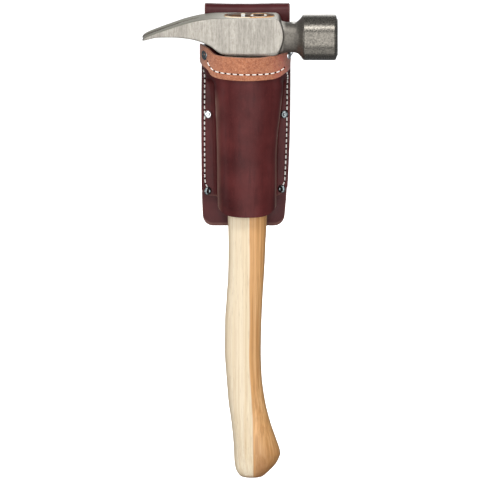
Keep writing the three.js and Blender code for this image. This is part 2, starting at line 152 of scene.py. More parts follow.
def curve(table, at):
    """Smooth reading of a table of (key, value) rows, at one key or an array of them. The curve has
    no slope where the table turns, so it never overshoots."""
    keys, values = np.array(sorted(table), float).T
    rise = np.diff(values) / np.diff(keys)
    slope = np.array([rise[0], *np.zeros(len(keys) - 2), rise[-1]])
    for i, (a, b) in enumerate(zip(rise, rise[1:]), 1):
        if a * b > 0:
            slope[i] = 2 * a * b / (a + b)
    at = np.clip(at, keys[0], keys[-1])
    i = np.clip(np.searchsorted(keys, at, side="right") - 1, 0, len(keys) - 2)
    step = keys[i + 1] - keys[i]
    t = (at - keys[i]) / step
    near = (1 + 2 * t) * (1 - t) ** 2 * values[i] + t * (1 - t) ** 2 * step * slope[i]
    far = t**2 * (3 - 2 * t) * values[i + 1] + t**2 * (t - 1) * step * slope[i + 1]
    return near + far


def eased(count, power=1.0):
    """Fractions from 0 to 1, closer together at both ends."""
    t = np.linspace(0, 1, count)
    return (1 - power) * t + power * (1 - np.cos(pi * t)) / 2


def bell(distance, width):
    """A smooth hump: 1 at no distance, and nearly none beyond two widths."""
    return exp(-((distance / width) ** 2))


def turns(count):
    """Angles of a full turn."""
    return np.linspace(0, 2 * pi, count, endpoint=False)


def circle(angles, first, second):
    """Unit steps round a circle in the plane of two directions."""
    return np.outer(np.cos(angles), first) + np.outer(np.sin(angles), second)


def signed_power(value, power):
    return np.sign(value) * np.abs(value) ** power


def ripple(point, wavelength, seed):
    """Smooth noise of about -1 to 1 at a point in millimetres."""
    return noise.noise(Vector(point) / wavelength + Vector((seed, seed * 2.7, -seed)))


# ---- meshes ----


def shade_smooth(piece):
    piece.data.polygons.foreach_set("use_smooth", [True] * len(piece.data.polygons))
    return piece


def face_outwards(piece):
    """Turns every face of each closed body outwards."""
    work = bmesh.new()
    work.from_mesh(piece.data)
    bmesh.ops.recalc_face_normals(work, faces=work.faces)
    work.to_mesh(piece.data)
    work.free()
    return piece


def flat_piece(name, vertices, faces, material):
    """A new object from points in millimetres, with flat faces."""
    mesh = bpy.data.meshes.new(name)
    mesh.from_pydata((np.asarray(vertices, float) * MM).tolist(), [], faces)
    mesh.update()
    mesh.materials.append(material)
    mesh.polygons.foreach_set("use_smooth", [False] * len(mesh.polygons))
    return new_object(name, mesh)


def mesh_piece(name, vertices, faces, material):
    """A new smooth object from closed bodies, with its faces turned outwards."""
    return face_outwards(shade_smooth(flat_piece(name, vertices, faces, material)))


def grid_faces(rows, columns, start=0, closed=False, flip=False):
    faces = []
    for r in range(rows - 1):
        for c in range(columns if closed else columns - 1):
            d = (c + 1) % columns
            face = (r * columns + c, r * columns + d, (r + 1) * columns + d, (r + 1) * columns + c)
            faces.append(tuple(start + i for i in (face[::-1] if flip else face)))
    return faces


def loft(rings, flip=False):
    """Points and faces of a closed body through rings of equal length."""
    rings = np.asarray(rings, float)
    rows, columns = rings.shape[:2]
    faces = grid_faces(rows, columns, closed=True, flip=flip)
    points = [*rings.reshape(-1, 3), rings[0].mean(0), rings[-1].mean(0)]
    first, last = rows * columns, rows * columns + 1
    for c in range(columns):
        d = (c + 1) % columns
        for cap in ((first, d, c), (last, last - 1 - columns + c, last - 1 - columns + d)):
            faces.append(cap[::-1] if flip else cap)
    return points, faces


def merged(bodies):
    """The points and faces of several bodies, as one body's."""
    points, faces = [], []
    for body_points, body_faces in bodies:
        shift = len(points)
        points.extend(body_points)
        faces.extend(tuple(i + shift for i in face) for face in body_faces)
    return points, faces


def thick_sheet(outer, inner):
    """Points and faces of a sheet between two grids of points, with its edges closed."""
    rows, columns = outer.shape[:2]
    size = rows * columns
    faces = grid_faces(rows, columns) + grid_faces(rows, columns, start=size, flip=True)
    rim = [(0, c) for c in range(columns)]
    rim += [(r, columns - 1) for r in range(1, rows)]
    rim += [(rows - 1, c) for c in range(columns - 2, -1, -1)]
    rim += [(r, 0) for r in range(rows - 2, 0, -1)]
    for (r0, c0), (r1, c1) in zip(rim, rim[1:] + rim[:1]):
        a, b = r0 * columns + c0, r1 * columns + c1
        faces.append((b, a, size + a, size + b))
    return [*outer.reshape(-1, 3), *inner.reshape(-1, 3)], faces


def lathe(profile, segments, centre, upright=True):
    """Points and faces of a body turned about Z, or Y; its profile is (radius, along) rows."""
    angles = turns(segments)
    rings = []
    for radius, along in profile:
        a, b, flat = radius * np.cos(angles), radius * np.sin(angles), np.full(segments, along)
        rings.append(np.stack((a, b, flat) if upright else (b, flat, a), 1))
    return loft(np.array(rings) + np.array(centre), flip=True)


SHARP_EDGE = radians(50)


def modify(piece, kind, **settings):
    """Adds a modifier and applies it."""
    modifier = piece.modifiers.new(kind.lower(), kind)
    for key, value in settings.items():
        setattr(modifier, key, value)
    bpy.context.view_layer.update()
    evaluated = piece.evaluated_get(bpy.context.evaluated_depsgraph_get())
    mesh = bpy.data.meshes.new_from_object(evaluated)
    piece.modifiers.clear()
    piece.data = mesh


def boolean(piece, bodies, operation, material):
    """Joins or cuts a piece with other closed bodies."""
    for points, faces in bodies:
        other = mesh_piece("cutter", points, faces, material)
        modify(piece, "BOOLEAN", operation=operation, solver="MANIFOLD", object=other)
        bpy.data.objects.remove(other)


def soften_edges(piece, width):
    """Rounds a piece's sharp edges."""
    modify(
        piece, "BEVEL", width=width * MM, segments=3, limit_method="ANGLE",
        angle_limit=SHARP_EDGE, harden_normals=False,
    )
    return shade_smooth(piece)


# ---- materials ----


def srgb(red, green, blue):
    """A linear colour from 0 to 255 display values."""
    def linear(value):
        value /= 255
        return value / 12.92 if value <= 0.04045 else ((value + 0.055) / 1.055) ** 2.4

    return (linear(red), linear(green), linear(blue), 1)


class Surface:
    """A Principled material and short names for the nodes that feed it."""

    def __init__(self, name, **shader):
        self.material = bpy.data.materials.new(name)
        self.material.use_nodes = True
        self.tree = self.material.node_tree
        self.shader = self.tree.nodes["Principled BSDF"]
        for socket, value in shader.items():
            self.shader.inputs[socket.replace("_", " ")].default_value = value
        spot = self.node("TexCoord", output="Object")
        # The point in millimetres.
        self.place = self.node("VectorMath", {0: spot, "Scale": 1 / MM}, operation="SCALE")

    def node(self, kind, inputs=(), output=0, **settings):
        """An output of a new node, whose inputs are sockets to link or values."""
        made = self.tree.nodes.new(f"ShaderNode{kind}")
        for key, value in settings.items():
            setattr(made, key, value)
        for key, value in dict(inputs).items():
            if isinstance(value, bpy.types.NodeSocket):
                self.tree.links.new(value, made.inputs[key])
            else:
                made.inputs[key].default_value = value
        return made.outputs[output]

    def math(self, operation, a, b=0.0):
        return self.node("Math", {0: a, 1: b}, operation=operation)

    def times(self, a, b):
        return self.math("MULTIPLY", a, b)

    def minus(self, a, b):
        return self.math("SUBTRACT", a, b)

    def size(self, value):
        return self.math("ABSOLUTE", value)

    def axis(self, name, source=None):
        inputs = {0: source or self.place}
        return self.node("SeparateXYZ", inputs, output="XYZ".index(name))

    def stretched(self, x, y, z, source=None):
        vector = {0: source or self.place, 1: (x, y, z)}
        return self.node("VectorMath", vector, operation="MULTIPLY")

    def noise(self, wavelength, detail=3, rough=0.5, stretch=None, source=None):
        """Noise of 0 to 1 whose features are about wavelength millimetres across."""
        place = self.stretched(*stretch, source) if stretch else source or self.place
        inputs = {"Vector": place, "Scale": 1 / wavelength, "Detail": detail, "Roughness": rough}
        return self.node("TexNoise", inputs)

    def cells(self, wavelength, stretch=(1, 1, 1)):
        """The distance to the middle of the nearest of many cells."""
        inputs = {"Scale": 1 / wavelength, "Vector": self.stretched(*stretch)}
        return self.node("TexVoronoi", inputs)

    def span(self, value, low, high, to_low=0.0, to_high=1.0, smooth=False):
        """A value's place between two others, as a number from to_low to to_high."""
        inputs = {0: value, 1: low, 2: high, 3: to_low, 4: to_high}
        kind = "SMOOTHSTEP" if smooth else "LINEAR"
        return self.node("MapRange", inputs, interpolation_type=kind)

    def blend(self, amount, first, second):
        """Mixes two colours, each a socket, display values or four linear values."""
        inputs = {0: amount, 6: first, 7: second}
        for key in (6, 7):
            if isinstance(inputs[key], tuple) and len(inputs[key]) == 3:
                inputs[key] = srgb(*inputs[key])
        return self.node("Mix", inputs, output=2, data_type="RGBA")

    def stain(self, tone, colour, value, low, high, to_low=0.0, to_high=1.0):
        """The tone, turned towards a colour by where a value lies between low and high."""
        return self.blend(self.span(value, low, high, to_low, to_high), tone, colour)

    def bump(self, height, depth, strength=1.0, normal=None):
        """A bump whose full height is depth millimetres."""
        inputs = {"Height": height, "Distance": depth * MM, "Strength": strength}
        if normal is not None:
            inputs["Normal"] = normal
        return self.node("Bump", inputs)

    def feed(self, colour, rough=None, normal=None):
        """Feeds the shader's colour, roughness and normal, and returns the material."""
        for socket, value in (("Base Color", colour), ("Roughness", rough), ("Normal", normal)):
            if value is not None:
                self.tree.links.new(value, self.shader.inputs[socket])
        return self.material


def leather(name, colour, dark, light):
    """Smooth dyed leather: cloudy dye, fine pores and creases, and a soft waxed sheen."""
    s = Surface(name, Specular_IOR_Level=0.16, Coat_Weight=0.03, Coat_Roughness=0.25)
    mottle = s.noise(5, detail=4, rough=0.6)
    tone = s.stain(dark, light, s.noise(38), 0.3, 0.7)
    tone = s.blend(s.times(mottle, 0.5), tone, colour)
    streak = s.noise(3.5, detail=4, rough=0.6, stretch=(1, 1, 0.12))
    tone = s.stain(tone, dark, streak, 0.5, 0.75, 0, 0.45)
    tone = s.stain(tone, light, s.noise(1.6, detail=2), 0.58, 0.78, 0, 0.35)
    pores = s.span(s.cells(0.9, stretch=(1, 1, 0.7)), 0, 0.5)
    pits = s.span(pores, 0.05, 0.35)
    tone = s.stain(tone, (0.02, 0.006, 0.006, 1), pits, 0, 1, 0.3, 0)
    grain = s.noise(0.7, rough=0.6)
    crease = s.noise(9, detail=5, rough=0.6, stretch=(1, 1, 0.35))
    # Pale tan where the 'wear' attribute is high: partly rubbed dye, partly painted highlight on
    # folds and cut edges.
    wear_and_highlight = s.node("Attribute", output=2, attribute_name="wear_and_highlight")
    patchy = s.noise(4, stretch=(1, 1, 0.2))
    wear_and_highlight_patches = s.times(wear_and_highlight, s.span(patchy, 0.3, 0.6, 0.6, 1))
    tone = s.blend(wear_and_highlight_patches, tone, (138, 104, 92))
    normal = s.bump(pits, 0.05)
    normal = s.bump(grain, 0.06, normal=normal)
    normal = s.bump(crease, 0.35, strength=0.5, normal=normal)
    rough = s.span(s.noise(14, detail=4), 0.3, 0.7, 0.36, 0.5)
    return s.feed(tone, rough, normal)


def rough_out():
    """The flesh side of tan leather: a matt nap with short fibres and handling marks."""
    s = Surface("rough_out", Sheen_Weight=0.35, Sheen_Roughness=0.6, Specular_IOR_Level=0.25)
    fibre = s.noise(0.9, detail=5, rough=0.75)
    patch = s.noise(9)
    tone = s.stain((168, 100, 66), (188, 120, 84), patch, 0.3, 0.7)
    clump = s.noise(3.0, detail=4, rough=0.75)
    tone = s.stain(tone, (138, 74, 48), clump, 0.38, 0.52, 0.85, 0)
    tone = s.stain(tone, (146, 80, 52), fibre, 0.35, 0.55, 0.5, 0)
    tone = s.stain(tone, (222, 166, 128), fibre, 0.5, 0.66, 0, 0.55)
    blush = s.span(s.axis("X"), 18, 36, 0, 1, smooth=True)
    blush = s.times(blush, s.span(s.noise(7), 0.3, 0.62, 0.15, 0.75))
    tone = s.blend(blush, tone, (170, 76, 58))
    normal = s.bump(fibre, 0.3)
    normal = s.bump(s.noise(0.35, rough=0.8), 0.12, normal=normal)
    rough = s.span(fibre, 0.2, 0.8, 0.96, 0.8)
    return s.feed(tone, rough, normal)


def thread_fibre():
    """Waxed thread: fine fibres along the twist, grey where it has picked up dye."""
    s = Surface("thread", Sheen_Weight=0.2, Specular_IOR_Level=0.4)
    fibre = s.noise(0.16, rough=0.7)
    grime = s.noise(3.5, detail=2)
    tone = s.stain((255, 253, 247), (214, 206, 194), fibre, 0.3, 0.75, 0.2, 0)
    tone = s.stain(tone, (196, 172, 160), grime, 0.58, 0.8, 0, 0.3)
    return s.feed(tone, s.span(fibre, 0.2, 0.8, 0.75, 0.55), s.bump(fibre, 0.05))


def hole_shadow():
    """Painted shade for the inside of an awl hole, with torn fibres at its edge."""
    s = Surface("awl_hole_shade", Specular_IOR_Level=0.2)
    fibre = s.noise(0.3)
    tone = s.blend(fibre, (20, 10, 10), (46, 20, 20))
    rough = s.span(fibre, 0, 1, 0.7, 0.95)
    return s.feed(tone, rough, s.bump(fibre, 0.1))


def hickory():
    """Hickory: pale sapwood, darker heartwood, fine grain along the handle and open pores; painted
    shade darkens its sides and underside, where the butt's end grain is also darker.
    """
    s = Surface("hickory", Coat_Weight=0.18, Coat_Roughness=0.3, Specular_IOR_Level=0.45)
    x, z = s.axis("X"), s.axis("Z")
    bend = s.times(s.span(z, -430, -330, 1, 0, smooth=True), 3.8)
    waver = s.span(s.noise(70, detail=1, stretch=(0.3, 0.3, 1)), 0.3, 0.7, -0.5, 0.5)
    edge = s.math("ADD", s.math("ADD", bend, waver), 2.2)
    across = s.minus(x, edge)
    heart = s.span(across, -0.5, 0.5, 0, 1, smooth=True)
    far = s.span(across, 2, 14, 0, 1)
    rim = s.span(s.size(s.minus(across, 1.2)), 0, 1.8, 0.55, 0)
    lean = s.times(s.span(z, -460, -370, 1, 0, smooth=True), s.span(across, 2, 26, 0, 9))
    leant = s.node("CombineXYZ", {0: s.minus(x, lean), 1: s.axis("Y"), 2: z})
    fine = s.noise(0.8, detail=4, rough=0.6, stretch=(1, 1, 0.008), source=leant)
    broad = s.noise(3.2, stretch=(1, 1, 0.006), source=leant)
    rays = s.noise(1.7, rough=0.6, stretch=(1, 1, 0.012), source=leant)
    pores = s.span(s.noise(0.5, detail=2, rough=0.7, stretch=(1, 1, 0.03)), 0.6, 0.72)
    sap = s.stain((240, 226, 200), (227, 206, 170), broad, 0.3, 0.7)
    core = s.blend(far, (244, 196, 140), (224, 170, 108))
    core = s.stain(core, (198, 140, 80), broad, 0.38, 0.66, 0, 0.75)
    core = s.stain(core, (180, 122, 66), rays, 0.5, 0.62, 0, 0.6)
    core = s.stain(core, (242, 202, 150), rays, 0.3, 0.42, 0.5, 0)
    core = s.stain(core, (156, 104, 56), z, -452, -405, 0.85, 0)
    core = s.blend(rim, core, (212, 156, 94))
    tone = s.blend(heart, sap, core)
    tone = s.stain(tone, (184, 138, 88), fine, 0.45, 0.75, 0, 0.4)
    tone = s.blend(s.times(pores, 0.35), tone, (136, 92, 52))
    facing = s.node("NewGeometry", output=1)
    # Painted shade: faces that turn sideways, away from the front, darken to tan; faces that turn
    # down darken to brown, partly the butt's end grain and partly painted shade along its bottom
    # edges.
    under = s.span(s.axis("Z", facing), -0.8, -0.4, 0.75, 0)
    edges = s.span(s.size(s.axis("Y", facing)), 0.15, 0.6, 0.45, 0)
    tone = s.blend(edges, tone, (204, 164, 112))
    tone = s.blend(under, tone, (160, 108, 58))
    tone = s.stain(tone, (112, 70, 38), z, -2.5, -1.0, 0, 0.8)
    normal = s.bump(s.minus(fine, s.times(pores, 0.8)), 0.08)
    rough = s.span(fine, 0.3, 0.7, 0.42, 0.56)
    return s.feed(tone, rough, normal)


def end_grain():
    """Oil-darkened end grain: growth rings, rays and open pores."""
    s = Surface("end_grain", Specular_IOR_Level=0.35)
    rings = s.node(
        "TexWave",
        {"Vector": s.place, "Scale": 0.14, "Distortion": 3.0, "Detail": 3.0, "Detail Scale": 0.4},
        output=1, wave_type="BANDS", bands_direction="Y",
    )
    pores = s.span(s.cells(0.8), 0.08, 0.3)
    tone = s.blend(rings, (96, 58, 30), (136, 88, 48))
    tone = s.stain(tone, (84, 74, 64), s.noise(5, detail=4), 0.38, 0.55, 0, 0.85)
    tone = s.stain(tone, (74, 38, 16), pores, 0, 1, 0.6, 0)
    centre = s.node("VectorMath", {0: s.place, 1: (-RING_X, -HEAD_Y, 0)}, operation="ADD")
    level = s.stretched(1, 1, 0, source=centre)
    reach = s.node("VectorMath", {0: level}, output=1, operation="LENGTH")
    tone = s.stain(tone, (52, 34, 24), reach, 4.4, 5.8, 0.85, 0)
    return s.feed(tone, s.span(rings, 0, 1, 0.75, 0.6), s.bump(pores, 0.12))


def forged_steel():
    """The head: ground cheeks, a pale top that darkens along the claw, dark neck, satin poll; the
    cheeks' bevels and right end take the neck's dark tone as painted shade.
    """
    s = Surface("forged_steel", Metallic=0.82)
    normal = s.node("NewGeometry", output=1)
    side = s.size(s.axis("Y", normal))
    x = s.axis("X")
    # Where the cheek mask is off, the neck's dark tone shows: on the bevels as painted shade along
    # the lower edges, and past x 34 as painted shade at the step to the neck.
    cheek = s.span(side, 0.5, 0.75, 0, 1, smooth=True)
    upper = s.times(s.span(s.axis("Z", normal), 0.5, 0.8), s.span(x, 34, 37, 1, 0))
    cheek = s.times(cheek, s.span(x, 33.8, 34.6, 1, 0))
    beside = s.size(s.minus(s.axis("Y"), HEAD_Y))
    cheek = s.times(cheek, s.span(beside, 7, 8))
    poll = s.span(x, 52.5, 54.5, 0, 1, smooth=True)
    brushed = s.noise(0.55, detail=4, rough=0.7, stretch=(1, 1, 0.05))
    broad = s.noise(5, stretch=(1, 1, 0.12))
    turned = s.noise(0.4, rough=0.7, stretch=(1, 0.04, 0.04))
    scale = s.noise(1.6, detail=5, rough=0.65)
    mottled = s.noise(1.5, detail=4, rough=0.7, stretch=(1, 1, 0.4))
    bright = s.stain((128, 123, 115), (188, 182, 172), brushed, 0.3, 0.7)
    bright = s.stain(bright, (196, 190, 180), mottled, 0.4, 0.7, 0, 0.6)
    bright = s.stain(bright, (130, 125, 117), broad, 0.4, 0.7, 0, 0.5)
    dark = s.stain((92, 88, 82), (124, 119, 111), scale, 0.3, 0.7)
    satin = s.stain((84, 81, 75), (126, 121, 113), scale, 0.35, 0.65)
    tone = s.blend(poll, dark, satin)
    top_tone = s.stain((186, 183, 174), (226, 222, 212), scale, 0.3, 0.7)
    tone = s.blend(upper, tone, s.blend(s.span(x, -44, -10), (136, 133, 120), top_tone))
    tone = s.blend(cheek, tone, bright)
    scuffs = s.noise(0.9, detail=5, rough=0.75, stretch=(0.6, 1, 1))
    height = s.blend(cheek, s.blend(poll, scale, s.blend(0.55, turned, scuffs)), brushed)
    rough = s.minus(0.48, s.times(poll, 0.22))
    rough = s.math("ADD", rough, s.times(upper, 0.14))
    rough = s.math("ADD", rough, s.span(scuffs, 0.3, 0.7, -0.08, 0.12))
    return s.feed(tone, rough, s.bump(height, 0.045))


def plated(name, colour, roughness, metallic=1.0):
    """Plated metal: faint polishing lines, smudges and tiny pits."""
    s = Surface(name, Metallic=metallic)
    smudge = s.noise(2.2, detail=4)
    fine = s.noise(0.25, rough=0.7)
    tone = s.stain(colour, (120, 120, 122), smudge, 0.45, 0.75, 0, 0.35)
    rough = s.span(smudge, 0.3, 0.7, roughness, roughness + 0.12)
    return s.feed(tone, rough, s.bump(fine, 0.012))


BURGUNDY = leather("burgundy_leather", (80, 28, 28), (52, 14, 16), (98, 42, 41))
PANEL_HIDE = leather("panel_leather", (74, 31, 32), (58, 20, 23), (86, 38, 38))
ROUGH_OUT = rough_out()
THREAD = thread_fibre()
HOLE_SHADE = hole_shadow()
HICKORY = hickory()
END_GRAIN = end_grain()
FORGED = forged_steel()
NICKEL = plated("nickel", (226, 228, 230), 0.16)
# A darker copy of the nickel for the rivet caps that look dark: painted dark reflection.
DARK_REFLECTION_NICKEL = plated("dark_reflection_nickel", (128, 136, 138), 0.18)
ZINC = plated("bright_steel", (226, 225, 220), 0.45, metallic=0.6)

# ---- the pocket's skin ----

# Edges of the holster by height: (z, x).
FLANGE_LEFT = [(-183, -41.5), (-176, -43.7), (-98, -44), (-56, -43.6), (-30, -43.4)]
FLANGE_RIGHT = [(-183, 36.8), (-176, 38.6), (-98, 41.2), (-62, 41.4), (-50, 39.8), (-30, 39.4)]
TUBE_LEFT = [(-197, -28.2), (-120, -29.6), (-75, -31), (-40, -32.4)]
TUBE_RIGHT = [(-197, 27.6), (-150, 28), (-120, 29.2), (-103, 31.2), (-73, 34.2), (-40, 36.5)]

# Edges of the pocket along its section, which runs from -1 at the left flange's edge,
# through 0 and 1 at the two creases, to 2 at the right flange's edge: (along, z).
MOUTH = [
    (-1, -36.5), (-0.8, -33.8), (-0.3, -33.4), (0, -34.2), (0.14, -36.8), (0.22, -39.4),
    (0.3, -40.3), (0.4, -40.6), (0.5, -40.8), (0.62, -41.2), (0.74, -40.5), (0.88, -40), (1, -39.6),
    (1.3, -38.6), (2, -39.5),
]
POCKET_FOOT = [
    (-1, -177), (-0.7, -182), (-0.2, -183), (0, -183), (0.1, -185.5), (0.18, -188), (0.25, -191.2),
    (0.3, -193.6), (0.35, -195.6), (0.42, -196.7), (0.5, -197), (0.58, -196.7), (0.65, -195.4),
    (0.7, -193.2), (0.75, -190.8), (0.82, -188), (0.9, -185.5), (1, -183), (1.2, -182), (1.7, -179),
    (2, -174),
]
BAND_FOOT = [
    (-1, -52), (-0.4, -52.8), (-0.1, -54), (0.06, -56.2), (0.16, -60.6), (0.3, -62.6), (0.5, -63.2),
    (0.7, -62.8), (0.86, -60.8), (1, -59), (1.3, -57.4), (2, -56.5),
]
BAND_SEAM = [
    (0, -46.4), (0.06, -48.4), (0.12, -51.9), (0.2, -55.2), (0.3, -56.4), (0.5, -57.2),
    (0.7, -57.3), (0.82, -56.3), (0.94, -54.4), (1.05, -53.2),
]

CREASE_SHARE = 0.06  # how far a crease's round reaches on each side of it, along the section
WALL_SHARE = 0.18  # where the straight wall ends, along the section
POCKET_WALL = 15.0  # how far the straight wall stands out from the flange
POCKET_POWER = 2.15  # 2 is an ellipse, and more is squarer
CREASE_LEFT = [(-197, 4.2), (-90, 4.8), (-66, 7.5), (-50, 10.5), (-38, 11)]
CREASE_RIGHT = [(-197, 1.7), (-90, 2.1), (-70, 3.5), (-55, 6), (-38, 6.8)]
# For each side: its flange's edge, its wall, the other wall, and its crease's radius.
SECTION_TABLES = {
    -1: (FLANGE_LEFT, TUBE_LEFT, TUBE_RIGHT, CREASE_LEFT),
    1: (FLANGE_RIGHT, TUBE_RIGHT, TUBE_LEFT, CREASE_RIGHT),
}

# The mouth opens into one wide arch: where a section parameter lies on it, in half turns, and
# how low the arch reaches before the creases begin.
ARCH_PLACE = [(-1, 0), (-0.4, 0.07), (-0.06, 0.16), (0.06, 0.195), (0.18, 0.24), (0.5, 0.5)]
ARCH_LOWEST = [(-1, -62), (-0.4, -62), (0, -73), (0.5, -73)]
ARCH_FADE = 14.0


def arch_point(t, side, z, lift):
    """A point on the mouth's arch; t runs from the edge on that side to 0.5 in the middle."""
    left, right = curve(FLANGE_LEFT, z), curve(FLANGE_RIGHT, z)
    angle = float(curve(ARCH_PLACE, t)) * pi
    x = (left + right) / 2 + side * ((right - left) / 2 + lift) * cos(angle)
    return np.array((x, FLANGE_FRONT - (POCKET_DEPTH + lift) * sin(angle), z))


def pocket_point(along, z, lift=0.0):
    """A point on the pocket's skin, lift millimetres outside it."""
    side, t = (1, 1 - along) if along > 0.5 else (-1, along)
    share = min(1, max(0, (z - curve(ARCH_LOWEST, t)) / ARCH_FADE))
    share = share * share * (3 - 2 * share)
    point = creased_point(t, side, z, lift)
    return point if share == 0 else point + (arch_point(t, side, z, lift) - point) * share


def creased_point(t, side, z, lift):
    """A point on the section with flat flanges, a crease, a straight wall and a rounded front."""
    edge, wall, other, radius = (curve(table, z) for table in SECTION_TABLES[side])
    bend_x, bend_y = wall + side * radius, FLANGE_FRONT - radius
    if t < -CREASE_SHARE:
        share = (t + 1) / (1 - CREASE_SHARE)
        return np.array((edge + (bend_x - edge) * share, FLANGE_FRONT - lift, z))
    if t < CREASE_SHARE:
        angle = (t + CREASE_SHARE) / (2 * CREASE_SHARE) * pi / 2
        x = bend_x - side * (radius - lift) * sin(angle)
        return np.array((x, bend_y + (radius - lift) * cos(angle), z))
    front = FLANGE_FRONT - POCKET_WALL
    if t < WALL_SHARE:
        share = (t - CREASE_SHARE) / (WALL_SHARE - CREASE_SHARE)
        return np.array((wall + side * lift, bend_y + (front - bend_y) * share, z))
    angle = (t - WALL_SHARE) / (1 - 2 * WALL_SHARE) * pi
    middle, half = (wall + other) / 2, abs(wall - other) / 2 + lift
    x = middle + side * half * signed_power(cos(angle), 2 / POCKET_POWER)
    y = front - (POCKET_DEPTH - POCKET_WALL + lift) * sin(angle) ** (2 / POCKET_POWER)
    return np.array((x, y, z))


def section_stations(flange, crease, wall, front):
    """Places along the section from edge to edge, with that many steps in each stretch."""
    ends = (-1, -CREASE_SHARE, CREASE_SHARE, WALL_SHARE)
    left = []
    for start, end, count in zip(ends, ends[1:], (flange, crease, wall)):
        left += [*np.linspace(start, end, count, endpoint=False)]
    middle = np.linspace(WALL_SHARE, 1 - WALL_SHARE, front)
    return np.array([*left, *middle, *[1 - t for t in left[::-1]]])


def skin_normal(along, z, lift=0.0):
    """The outward direction at a point on the pocket's skin."""
    step = 0.004
    ahead = pocket_point(along + step, z, lift) - pocket_point(along - step, z, lift)
    normal = np.cross((0, 0, 1.0), ahead)
    return -normal / np.linalg.norm(normal)


SEAM_INSET = 3.2
GROOVE_TOP = -60  # the grooves end at this height, under the band
GROOVE_DEPTH = 0.32


def seam_x(side, z):
    """Where a side seam runs: inside the flange's edge."""
    return curve(FLANGE_RIGHT if side > 0 else FLANGE_LEFT, z) - side * SEAM_INSET


def pocket_skin(foot, rows, stations, lift, relief=None):
    """A grid of points on the skin from a foot to the mouth, raised by relief(along, point)."""
    grid = np.zeros((rows, len(stations), 3))
    for c, along in enumerate(stations):
        low, high = curve(foot, along), curve(MOUTH, along)
        for r, v in enumerate(eased(rows, 0.25)):
            z = low + (high - low) * v
            point = pocket_point(along, z, lift)
            raised = relief(along, point) if relief else 0
            grid[r, c] = pocket_point(along, z, lift + raised) if raised else point
    return grid


def pocket_relief(along, point):
    """Wet-moulded leather: broad soft waves, and a pressed groove under the side seams."""
    waves = 0.35 * ripple(point, 42, 3) + 0.12 * ripple(point, 13, 8)
    if 0.02 < along < 0.98:
        return waves * min(1, (along - 0.02) * 12, (0.98 - along) * 12)
    groove = 0.0
    if point[2] < GROOVE_TOP:
        beside = point[0] - seam_x(1 if along > 0.5 else -1, point[2])
        groove = -GROOVE_DEPTH * bell(beside, 0.8)
    return groove + 0.06 * ripple(point, 9, 5)


def band_relief(along, point):
    """The band's nap, and a pressed line under its seam."""
    nap = 0.14 * ripple(point, 1.6, 11) + 0.1 * ripple(point, 5, 12)
    return nap - 0.3 * bell(point[2] - curve(BAND_SEAM, along), 0.9)


# ---- holster ----


def mark_wear_and_highlight(piece, amounts):
    """Stores how much each point is painted pale tan, from 0 to 1, for the leather to read: rubbed
    dye in places, painted highlight in others.
    """
    values = np.zeros(len(piece.data.vertices))
    values[: len(amounts)] = amounts
    piece.data.attributes.new("wear_and_highlight", "FLOAT", "POINT").data.foreach_set("value", values)


FOLD_WEAR_AND_HIGHLIGHT_TOP = -74  # each fold is painted pale below this height, as rubbed dye and painted highlight
FOOT_HIGHLIGHT_REACH = 1.3  # how far the painted rim highlight reaches up from the foot's edge


def pocket_wear_and_highlight(along, z):
    """Paints each fold beside the tube pale: the left one as rubbed dye with a painted highlight,
    the right one as a thin painted highlight line; the foot's edge gets a painted rim highlight.
    """
    shown = min(1, max(0, (FOLD_WEAR_AND_HIGHLIGHT_TOP - z) / 12))
    fold_wear_and_highlight = 0.85 * bell(along - 0.215, 0.05) + bell(along - 0.785, 0.022)
    # The foot's edge: a painted rim highlight, strong near the tube's sides and faint on the
    # flanges.
    corner = 0.75 if 0 < along < 0.27 or 0.76 < along < 1 else 0.3 * (along < 0 or along > 1)
    return min(1, shown * fold_wear_and_highlight + corner * bell(z - curve(POCKET_FOOT, along), FOOT_HIGHLIGHT_REACH))


def make_pocket():
    stations = section_stations(24, 14, 6, 50)
    outer = pocket_skin(POCKET_FOOT, 120, stations, 0, pocket_relief)
    inner = pocket_skin(POCKET_FOOT, 120, stations, -POCKET_LEATHER)
    piece = mesh_piece("moulded_pocket", *thick_sheet(outer, inner), BURGUNDY)
    heights = outer[:, :, 2]
    mark_wear_and_highlight(piece, [pocket_wear_and_highlight(t, z) for row in heights for t, z in zip(stations, row)])
    return soften_edges(piece, 0.7)


BAND_ROOM = 0.15  # between the pocket and the band
BAND_RISE = 0.5  # the band stands this much above the pocket's mouth


def make_band():
    stations = section_stations(22, 9, 6, 90)
    inner = pocket_skin(BAND_FOOT, 34, stations, BAND_ROOM)
    outer = pocket_skin(BAND_FOOT, 34, stations, BAND_ROOM + BAND_LEATHER + 0.15, band_relief)
    lifted = np.array((0, 0, BAND_RISE))
    piece = mesh_piece("rough_out_band", *thick_sheet(outer + lifted, inner + lifted), ROUGH_OUT)
    return soften_edges(piece, 0.45)


# The panel's sides by height: (z, x).
PANEL_LEFT = [
    (-213, -42.2), (-180, -43.4), (-46, -43.2), (-30, -40.8), (0, -40.7), (2.2, -40.4),
    (3.2, -39.6), (3.5, -39.0),
]
PANEL_RIGHT = [
    (-213, 35.1), (-176, 38.0), (-60, 41.4), (-46, 41.4), (-30, 40.8), (0, 40.7), (2.2, 40.4),
    (3.2, 39.6), (3.5, 39.0),
]
PANEL_WIDTH = 80.0
PANEL_FOOT_RADIUS = 10.0
# The loop's tail, behind the panel: its half width and corners, and the heights where it starts
# to bend in, where it meets the panel, and where it ends.
TAIL_HALF = 40.7
TAIL_RADIUS = 9.0
TUNNEL_BOTTOM = -80.0
TAIL_CLOSED = -95.0
TAIL_BOTTOM = -113.0


